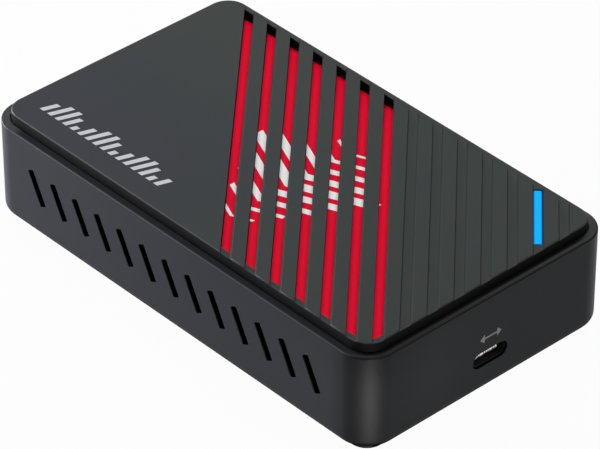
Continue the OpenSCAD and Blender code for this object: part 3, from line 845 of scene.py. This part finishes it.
@dataclass(frozen=True)
class LitDiffuser:
    """Lit plastic bar: bright along its middle and deeper in colour near its edges."""

    name: str
    core: Colour
    edge: Colour
    middle: Point
    along: Point
    half_length: float
    half_width: float
    top: float
    fade: float = 0.4 * MM
    lit_depth: float = 0.6 * MM
    unlit_share: float = 0.05
    strength: float = 1.0
    speckle: float = 1.2 * MM
    detail: float = 3.0
    tone_swing: float = 0.06
    least_glow: float = 0.95
    glow_swing: float = 0.1
    least_rough: float = 0.5
    rough_swing: float = 0.2
    specular: float = 0.03

    def material(self) -> Material:
        """Make the finish.

        Returns:
            The material.
        """
        graph = ShaderGraph(self.name)
        from_x = graph.x - self.middle[0]
        from_y = graph.y - self.middle[1]
        run = graph.math(Sum.ABSOLUTE, from_x * self.along[0] + from_y * self.along[1])
        across = graph.math(Sum.ABSOLUTE, from_y * self.along[0] - from_x * self.along[1])
        inset = graph.math(Sum.MINIMUM, self.half_length - run, self.half_width - across)
        speckle = graph.noise(self.speckle, self.detail)
        glow = graph.between(inset, 0.0, self.fade) * (speckle * self.glow_swing + self.least_glow)
        lit = graph.mix(glow, self.edge, self.core)
        face = graph.between(self.top - graph.z, 2.0 * self.lit_depth, self.lit_depth)
        return graph.close(graph.skin({
            "Base Color": graph.mix(speckle * self.tone_swing, self.edge, self.core),
            "Roughness": speckle * self.rough_swing + self.least_rough,
            "Emission Color": graph.mix(face, scaled(self.edge, self.unlit_share), lit),
            "Emission Strength": self.strength,
            "Specular IOR Level": self.specular,
        }))


@dataclass
class Housing:
    """The vented tub, the deck that closes it, the feet and the case screws."""

    edge: float = 0.09 * MM
    corner: float = 6.8 * MM
    floor_thickness: float = 2.0 * MM
    wall_tone: Colour = (0.0332, 0.035, 0.0421)
    wall_roughness: float = 0.42
    wall_shine: float = 0.06
    deck: Finish = MouldedPlastic("deck_plastic", (0.006, 0.006, 0.007), roughness=0.6)
    rubber: Finish = SoftRubber("foot_rubber", (0.012, 0.012, 0.013))
    screws: Finish = PlatedMetal("screw_black", (0.12, 0.12, 0.13))
    sign: Finish = PrintedInk("sign_ink", (0.34, 0.34, 0.35), roughness=0.5)
    sign_half: float = 2.9 * MM
    sign_head: float = 1.2 * MM
    sign_barb: float = 1.0 * MM
    sign_shaft: float = 0.2 * MM
    sign_ink: float = 0.02 * MM
    sign_rise: float = 4.9 * MM

    def build(self) -> None:
        """Make the tub, the deck and the sign over the computer's socket, and dress the rest."""
        low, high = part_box("base_shell")
        wall = HollowMoulding(
            "housing_plastic", self.wall_tone,
            roughness=self.wall_roughness, specular=self.wall_shine,
            half_length=high.x, half_width=high.y, corner=self.corner,
            underside=low.z, floor_top=low.z + self.floor_thickness, rim=high.z,
        )
        tub = Easing(self.edge).copy("base_shell", "tub", wall.material())
        lay_in_frame(tub, Body.HOUSING, "housing_plastic", "base_shell")
        deck = Easing(self.edge).copy("upper_deck", "deck", self.deck.material())
        lay_in_frame(deck, Body.HOUSING, "deck_plastic", "upper_deck")
        self._sign()
        feet = "foot_front_left", "foot_front_right", "foot_back_left", "foot_back_right"
        dress_nodes(self.rubber.material(), *feet)
        dress_nodes(self.screws.material(), "case_screws")

    def _sign(self) -> None:
        """Print a two-way arrow over the computer's socket."""
        low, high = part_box("usb_shell")
        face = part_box("base_shell")[1].x
        middle = Vector((face, (low.y + high.y) / 2, (low.z + high.z) / 2 + self.sign_rise))
        neck = self.sign_half - self.sign_head
        right = [(neck, -self.sign_shaft), (neck, -self.sign_barb), (self.sign_half, 0.0),
                 (neck, self.sign_barb), (neck, self.sign_shaft)]
        outline = right + [(-along, -up) for along, up in right]
        form = bmesh.new()
        ring = [form.verts.new(middle + Vector((0.0, along, up))) for along, up in outline]
        face_made = form.faces.new(ring)
        lifted = bmesh.ops.extrude_face_region(form, geom=[face_made])["geom"]
        top = [item for item in lifted if isinstance(item, bmesh.types.BMVert)]
        bmesh.ops.translate(form, verts=top, vec=(self.sign_ink, 0.0, 0.0))
        bmesh.ops.recalc_face_normals(form, faces=form.faces)
        mesh = bpy.data.meshes.new("socket_sign")
        form.to_mesh(mesh)
        form.free()
        mesh.materials.append(self.sign.material())
        lay_in_frame(new_object("socket_sign", mesh), Body.HOUSING, "housing_plastic")


@dataclass
class Cover:
    """The channelled cover and the row of silver bars printed on it."""

    edge: float = 0.07 * MM
    top_tone: Colour = (0.0336, 0.0386, 0.0373)
    top_roughness: float = 0.52
    top_shine: float = 0.05
    side_tone: Colour = (0.0195, 0.0198, 0.022)
    side_foot_tone: Colour = (0.0098, 0.0098, 0.0105)
    side_roughness: float = 0.65
    side_shine: float = 0.012
    edges: Finish = MouldedPlastic("cover_edge_plastic", (0.034, 0.037, 0.037), specular=0.085)
    silver: Finish = PrintedInk("silver_ink", (0.54, 0.54, 0.57), metallic=0.35, roughness=0.4)
    side_limit: float = 0.5
    edge_limit: float = 0.98
    corner: float = 4.7 * MM
    edge_round: float = 0.5 * MM
    channel_first: float = -12.98 * MM
    channel_pitch: float = 5.04 * MM
    bar_count: int = 16
    bar_pitch: float = 2.35 * MM
    bar_width: float = 1.25 * MM
    bar_low: float = 1.3 * MM
    bar_high: float = 5.2 * MM
    bar_lean: float = 0.34
    bar_ink: float = 0.02 * MM
    bar_start: tuple[float, float] = (-48.0 * MM, -25.6 * MM)
    bar_swing: float = 0.62

    def build(self) -> None:
        """Make the cover and its bars."""
        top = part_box("top_cover")[1].z
        upper = ChannelledMoulding(
            "cover_plastic", self.top_tone, roughness=self.top_roughness, specular=self.top_shine,
            first=self.channel_first, pitch=self.channel_pitch, top=top,
        )
        sides = GradedMoulding(
            "cover_side_plastic", self.side_tone,
            roughness=self.side_roughness, specular=self.side_shine,
            foot=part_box("base_shell")[1].z, head=top, foot_tone=self.side_foot_tone,
        )
        plate = Easing(self.edge).copy("top_cover", "cover", upper.material())
        plate.data.materials.append(self.edges.material())
        plate.data.materials.append(sides.material())
        self._share_out(plate.data)
        lay_in_frame(plate, Body.COVER, "cover_plastic", "top_cover")
        bars = self._bar_tree().bake("level_bars", {
            "Count": self.bar_count, "Pitch": self.bar_pitch, "Bar width": self.bar_width,
            "Lowest": self.bar_low, "Highest": self.bar_high, "Swing": self.bar_swing,
            "Lean": self.bar_lean, "Ink": self.bar_ink,
            "Start": Vector((*self.bar_start, top + self.bar_ink / 2)),
            "Finish": self.silver.material(),
        })
        lay_in_frame(bars, Body.COVER, "cover_plastic")

    def _share_out(self, mesh: Mesh) -> None:
        """Give upright faces the sides' finish and the rounded outer edge its own.

        Args:
            mesh: the cover's mesh, with its three finishes.
        """
        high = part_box("top_cover")[1]
        for face in mesh.polygons:
            level = abs(face.normal.z)
            depth = depth_inside(face.center, high.x, high.y, self.corner)
            if level < self.side_limit:
                face.material_index = 2
            elif level < self.edge_limit and depth < self.edge_round:
                face.material_index = 1

    def _bar_tree(self) -> GeometryGraph:
        """Make the tree for a row of leaning bars whose heights swing up and down.

        Returns:
            The tree.
        """
        graph = GeometryGraph("level_bars")
        count = graph.input("Count", "Int")
        pitch, width, lowest, highest, swing, lean, ink = graph.floats(
            "Pitch", "Bar width", "Lowest", "Highest", "Swing", "Lean", "Ink",
        )
        start = graph.input("Start", "Vector")
        finish = graph.input("Finish", "Material")
        row = graph.row(count, start, graph.join(x=pitch))
        index = graph.node("GeometryNodeInputIndex")
        share = graph.math(Sum.ABSOLUTE, graph.math(Sum.SINE, (index + 1.0) * swing))
        height = lowest + share * (highest - lowest)
        seated = graph.moved(row, graph.join(y=height * 0.5))
        bar = graph.node("GeometryNodeMeshCube", inputs={"Size": graph.join(width, 1.0, ink)})
        bars = graph.real(graph.stamp(seated, bar, graph.join(1.0, height, 1.0)))
        place = graph.node("GeometryNodeInputPosition")
        rise = graph.split(graph.vector(Sum.SUBTRACT, place, start))[1]
        graph.finish(graph.moved(bars, graph.join(x=rise * lean)), finish)
        return graph


@dataclass
class Inlay:
    """The red sheet under the slots and the white chevrons printed on it."""

    red: Finish = PrintedSheet("inlay_print", (0.86, 0.0035, 0.032))
    white: Finish = PrintedInk("white_ink", (0.98, 0.97, 0.97), roughness=0.5)
    middle: tuple[float, float] = (2.5 * MM, -3.5 * MM)
    rows: int = 9
    pitch: float = 3.9 * MM
    longest: float = 35.0 * MM
    shortest: float = 9.0 * MM
    boldest: float = 2.5 * MM
    finest: float = 0.7 * MM
    rake: float = 0.42
    stripe_cuts: int = 3
    ink: float = 0.016 * MM

    def build(self) -> None:
        """Dress the sheet and print its chevrons."""
        dress_nodes(self.red.material(), "inlay_panel")
        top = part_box("inlay_panel")[1].z
        print_made = self._print_tree().bake("chevron_print", {
            "Rows": self.rows, "Pitch": self.pitch, "Longest": self.longest,
            "Shortest": self.shortest, "Boldest": self.boldest, "Finest": self.finest,
            "Rake": self.rake, "Ink": self.ink,
            "Middle": Vector((*self.middle, top)),
            "Finish": self.white.material(),
        })
        lay_in_frame(print_made, Body.HOUSING, "inlay_print")

    def _print_tree(self) -> GeometryGraph:
        """Make the tree for a stack of chevrons, longest and boldest in its middle.

        Returns:
            The tree.
        """
        graph = GeometryGraph("chevron_print")
        rows = graph.input("Rows", "Int")
        pitch, longest, shortest, boldest, finest, rake, ink = graph.floats(
            "Pitch", "Longest", "Shortest", "Boldest", "Finest", "Rake", "Ink",
        )
        middle = graph.input("Middle", "Vector")
        finish = graph.input("Finish", "Material")
        foot = graph.join(y=(1.0 - rows) * pitch * 0.5)
        stack = graph.row(rows, graph.vector(Sum.ADD, foot, middle), graph.join(y=pitch))
        index = graph.node("GeometryNodeInputIndex")
        share = graph.math(Sum.ABSOLUTE, index * 2.0 / (rows - 1.0) - 1.0)
        length = longest + share * (shortest - longest)
        weight = boldest + share * (finest - boldest)
        stripe = graph.node("GeometryNodeMeshCube", inputs={
            "Size": graph.join(1.0, 1.0, ink), "Vertices X": self.stripe_cuts,
        })
        stripes = graph.real(graph.stamp(stack, stripe, graph.join(length, weight, 1.0)))
        place = graph.node("GeometryNodeInputPosition")
        from_middle = graph.split(graph.vector(Sum.SUBTRACT, place, middle))[0]
        bend = graph.join(y=graph.math(Sum.ABSOLUTE, from_middle) * rake)
        graph.finish(graph.moved(stripes, bend), finish)
        return graph


@dataclass
class LightBar:
    """The lit bar near the corner of the cover."""

    edge: float = 0.12 * MM
    core: Colour = (0.001, 0.41, 0.73)
    rim: Colour = (0.0, 0.035, 0.2)
    half_length: float = 9.0 * MM
    half_width: float = 0.9 * MM

    def build(self) -> None:
        """Make the bar."""
        low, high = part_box("light_pipe")
        middle = (low + high) / 2
        turn = math.sqrt(0.5)
        finish = LitDiffuser(
            "light_bar", self.core, self.rim, tuple(middle), (-turn, turn, 0.0),
            self.half_length, self.half_width, high.z,
        )
        bar = Easing(self.edge).copy("light_pipe", "light_bar", finish.material())
        lay_in_frame(bar, Body.HOUSING, "light_bar", "light_pipe")


@dataclass(frozen=True)
class ContactRows:
    """Sizes of the two rows of contacts on a socket's tongue."""

    stem: str
    upper: int
    lower: int
    pitch: float
    width: float
    thickness: float
    nose: float
    curl: float
    curl_run: float
    recess: float
    widening: float
    outwards: int


@dataclass
class Sockets:
    """The computer's socket and the two video sockets, with their tongues and contacts."""

    edge: float = 0.06 * MM
    coat: Finish = MouldedPlastic(
        "socket_black_coat", (0.024, 0.024, 0.0255), roughness=0.7, specular=0.02,
    )
    nickel: Finish = PlatedMetal("socket_metal", (0.5, 0.5, 0.51), roughness=0.4)
    tongue: Finish = MouldedPlastic("socket_plastic", (0.006, 0.006, 0.0065), fine=0.1 * MM)
    plating: Finish = PlatedMetal("contact_gold", (0.97, 0.94, 0.87))
    blade_cuts: int = 129
    lead_step: float = 3.0
    lead_place: float = 2.5
    lead_margin: float = 0.1
    rows: tuple[ContactRows, ...] = (
        ContactRows("usb", 12, 12, 0.5 * MM, 0.3 * MM, 0.06 * MM, 0.42 * MM, 0.34 * MM, 0.1 * MM,
                    0.022, 0.5, 1),
        *(ContactRows(stem, 10, 9, 0.9 * MM, 0.45 * MM, 0.1 * MM, 0.4 * MM, 0.06 * MM, 0.3 * MM,
                      0.0, 0.0, -1) for stem in ("hdmi_in", "hdmi_out")),
    )

    def build(self) -> None:
        """Make the shells and the contacts, and dress the tongues."""
        finishes = (self.coat, self.nickel, self.tongue, self.plating)
        dark, bright, black, plating = (finish.material() for finish in finishes)
        tree = self._contact_tree()
        for row in self.rows:
            metal = dark if row.outwards > 0 else bright
            shell = Easing(self.edge).copy(f"{row.stem}_shell", f"{row.stem}_socket_shell", metal)
            lay_in_frame(shell, Body.HOUSING, "socket_metal", f"{row.stem}_shell")
            dress_nodes(black, f"{row.stem}_tongue")
            self._contacts(row, tree, plating)

    def _contacts(self, row: ContactRows, tree: GeometryGraph, finish: Material) -> None:
        """Lay two rows of contacts on a tongue, with their ends curled over its nose.

        Args:
            row: the rows' sizes.
            tree: the tree that makes them.
            finish: their plating.
        """
        low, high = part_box(f"{row.stem}_contacts")
        length = high.x - low.x + row.nose
        middle = (low + high) / 2 + Vector((row.outwards * row.nose / 2, 0.0, 0.0))
        piece = tree.bake(f"{row.stem}_contact_rows", {
            "Upper count": row.upper, "Lower count": row.lower, "Pitch": row.pitch,
            "Length": length, "Width": row.width, "Thickness": row.thickness,
            "Spread": high.z - low.z - row.thickness, "Curl": row.curl, "Curl run": row.curl_run,
            "Recess": row.recess, "Widening": row.widening,
            "Heading": Vector((row.outwards, row.outwards, 1.0)),
            "Middle": middle,
            "Finish": finish,
        })
        lay_in_frame(piece, Body.HOUSING, "contact_gold", f"{row.stem}_contacts")

    def _contact_tree(self) -> GeometryGraph:
        """Make the tree for an upper and a lower row of blades that curl together.

        Returns:
            The tree.
        """
        graph = GeometryGraph("contact_rows")
        counts = graph.input("Upper count", "Int"), graph.input("Lower count", "Int")
        pitch, length, width, thickness, spread, curl, curl_run, recess, widening = graph.floats(
            "Pitch", "Length", "Width", "Thickness", "Spread", "Curl", "Curl run", "Recess",
            "Widening",
        )
        heading = graph.input("Heading", "Vector")
        middle = graph.input("Middle", "Vector")
        finish = graph.input("Finish", "Material")
        place = graph.node("GeometryNodeInputPosition")
        blade = graph.node("GeometryNodeMeshCube", inputs={
            "Size": graph.join(length, width, thickness), "Vertices X": self.blade_cuts,
        })
        into_curl = (graph.split(place)[0] - length * 0.5 + curl_run) / curl_run
        share = graph.math(Sum.MAXIMUM, into_curl, 0.0)
        bent = graph.moved(blade, graph.join(z=spread * 0.5 - share * share * curl))
        index = graph.node("GeometryNodeInputIndex")
        rows = []
        for count, roll in zip(counts, ((1.0, 1.0, 1.0), (1.0, -1.0, -1.0))):
            from_middle = graph.math(Sum.ABSOLUTE, index - (count - 1.0) * 0.5)
            in_group = graph.math(Sum.MODULO, from_middle, self.lead_step)
            leads = graph.math(Sum.COMPARE, in_group, self.lead_place, self.lead_margin)
            scale = graph.join(1.0 - recess * (1.0 - leads), 1.0 + widening * leads, 1.0)
            line = graph.row(count, graph.join(y=(1.0 - count) * pitch * 0.5), graph.join(y=pitch))
            rolled = graph.moved(bent, graph.vector(Sum.MULTIPLY, place, roll), "Position")
            rows.append(graph.stamp(line, rolled, scale))
        both = graph.node("GeometryNodeJoinGeometry", inputs={0: rows[0]})
        graph.feed(both.socket.node.inputs[0], rows[1])
        turned = graph.vector(Sum.MULTIPLY, place, heading)
        laid = graph.moved(graph.real(both), graph.vector(Sum.ADD, turned, middle), "Position")
        graph.finish(laid, finish)
        return graph


@dataclass
class Electronics:
    """The board and the parts that stand on it."""

    finishes: tuple[tuple[Finish, tuple[str, ...]], ...] = (
        (SolderMask("board_laminate", (0.006, 0.04, 0.017)), ("main_board",)),
        (MouldedPlastic("chip_resin", (0.016, 0.016, 0.018), fine=0.08 * MM, roughness=0.55),
         ("video_processor", "usb_bridge", "video_receiver", "video_splitter",
          "memory_chip_1", "memory_chip_2", "flash_chip")),
        (SoftRubber("pad_silicone", (0.26, 0.3, 0.36)), ("thermal_pad",)),
        (PlatedMetal("sink_aluminium", (0.62, 0.63, 0.65), stretch=(1.0, 0.04, 1.0)),
         ("heat_sink", "capacitor_1", "capacitor_2", "crystal")),
        (MouldedPlastic("inductor_core", (0.05, 0.05, 0.052), fine=0.15 * MM, roughness=0.7),
         ("inductor_1", "inductor_2", "inductor_3")),
        (PrintedSheet("led_resin", (0.75, 0.76, 0.66), roughness=0.25),
         ("status_led_1", "status_led_2")),
        (PlatedMetal("screw_steel", (0.55, 0.55, 0.56)), ("board_screws",)),
    )

    def build(self) -> None:
        """Dress the board and its parts."""
        for finish, nodes in self.finishes:
            dress_nodes(finish.material(), *nodes)


def dress_nodes(material: Material, *nodes: str) -> None:
    """Give solids that keep their own meshes a finish.

    Args:
        material: the finish.
        nodes: the solids' names.
    """
    for node in nodes:
        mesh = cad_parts[node].data
        mesh.materials.clear()
        mesh.materials.append(material)
        LOG.info("%s: own mesh, dressed in %s", node, material.name)


@dataclass(frozen=True)
class Softbox:
    """One oblong studio lamp."""

    name: str
    place: Point
    aim: Point
    wide: float
    high: float
    power: float
    tint: Colour = (1.0, 1.0, 1.0)
    gloss_only: bool = False
    spread: float = math.pi

    def build(self) -> None:
        """Hang the lamp and turn it to what it lights."""
        lamp = bpy.data.lights.new(self.name, "AREA")
        lamp.shape = "RECTANGLE"
        lamp.size = self.wide
        lamp.size_y = self.high
        lamp.energy = self.power
        lamp.spread = self.spread
        lamp.color = self.tint
        holder = new_object(self.name, lamp)
        point(holder, self.place, self.aim)
        holder.visible_camera = False
        holder.visible_diffuse = not self.gloss_only


@dataclass
class Studio:
    """The pale floor, the soft lamps, the world and the camera."""

    floor_side: float = 6.0
    floor_white: Colour = (0.3, 0.3, 0.3)
    background: Colour = (1.0, 1.0, 1.0)
    background_share: float = 0.97
    world_tone: Colour = (0.09, 0.092, 0.095)
    camera_place: Point = (0.491444, -0.44766, 0.497164)
    camera_aim: Point = (0.00488, -0.00288, 0.014436)
    lens: float = 245.2
    sensor: float = 36.0
    lamps: tuple[Softbox, ...] = (
        Softbox("overhead", (-0.08, 0.1, 0.8), (0.0, 0.0, 0.02), 0.5, 0.5, 5.4),
        Softbox("back_panel", (-0.22, 0.48, 0.2), (0.0, 0.0, 0.02), 0.55, 0.2, 1.0),
        Softbox("left_side", (-0.3, -0.12, 0.06), (0.0, -0.03, 0.012), 0.16, 0.08, 2.7,
                tint=(0.96, 0.98, 1.0)),
        Softbox("edge_light", (-0.3, -0.295, 0.27), (0.0, -0.03, 0.02), 0.3, 0.3, 1.7,
                gloss_only=True),
        Softbox("right_fill", (0.42, 0.34, 0.25), (0.05, 0.02, 0.015), 0.3, 0.3, 0.6),
        Softbox("corner_strip", (0.32, -0.222, 0.012), (0.0545, -0.0313, 0.012), 0.04, 0.02, 0.06,
                gloss_only=True, spread=math.radians(5.0)),
    )

    def build(self) -> None:
        """Set up the stage."""
        scene = bpy.context.scene
        scene.view_settings.view_transform = "Standard"
        self._floor()
        self._world()
        for lamp in self.lamps:
            lamp.build()
        lens = bpy.data.cameras.new("camera")
        lens.lens = self.lens
        lens.sensor_width = self.sensor
        lens.sensor_fit = "HORIZONTAL"
        scene.camera = new_object("camera", lens)
        point(scene.camera, self.camera_place, self.camera_aim)

    def _floor(self) -> None:
        """Lay a floor that looks white and keeps the box's shadow."""
        form = bmesh.new()
        bmesh.ops.create_grid(form, x_segments=1, y_segments=1, size=self.floor_side / 2)
        mesh = bpy.data.meshes.new("floor")
        form.to_mesh(mesh)
        form.free()
        graph = ShaderGraph("floor_white")
        path = graph.node("ShaderNodeLightPath").socket.node.outputs
        rays = ("Is Camera Ray", "Is Glossy Ray", "Is Transmission Ray")
        camera, gloss, glass = (Signal(graph, path[ray]) for ray in rays)
        shown = graph.math(Sum.MAXIMUM, graph.math(Sum.MAXIMUM, camera, gloss), glass)
        matte = graph.node("ShaderNodeBsdfDiffuse", inputs={"Color": (*self.floor_white, 1.0)})
        white = graph.node("ShaderNodeEmission", inputs={"Color": (*self.background, 1.0)})
        share = shown * self.background_share
        both = graph.node("ShaderNodeMixShader", inputs={0: share, 1: matte, 2: white})
        mesh.materials.append(graph.close(both))
        new_object("floor", mesh)

    def _world(self) -> None:
        """Fill the room with an even light."""
        world = bpy.data.worlds.new("room")
        world.use_nodes = True
        background = world.node_tree.nodes["Background"]
        background.inputs["Color"].default_value = (*self.world_tone, 1.0)
        bpy.context.scene.world = world


def main() -> None:
    """Build every sub-assembly in order."""
    logging.basicConfig(level=logging.INFO, format="%(message)s")
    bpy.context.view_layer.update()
    Studio().build()
    for assembly in (Housing(), Cover(), Inlay(), LightBar(), Sockets(), Electronics()):
        LOG.info("building %s", type(assembly).__name__)
        assembly.build()


if __name__ == "__main__":
    main()
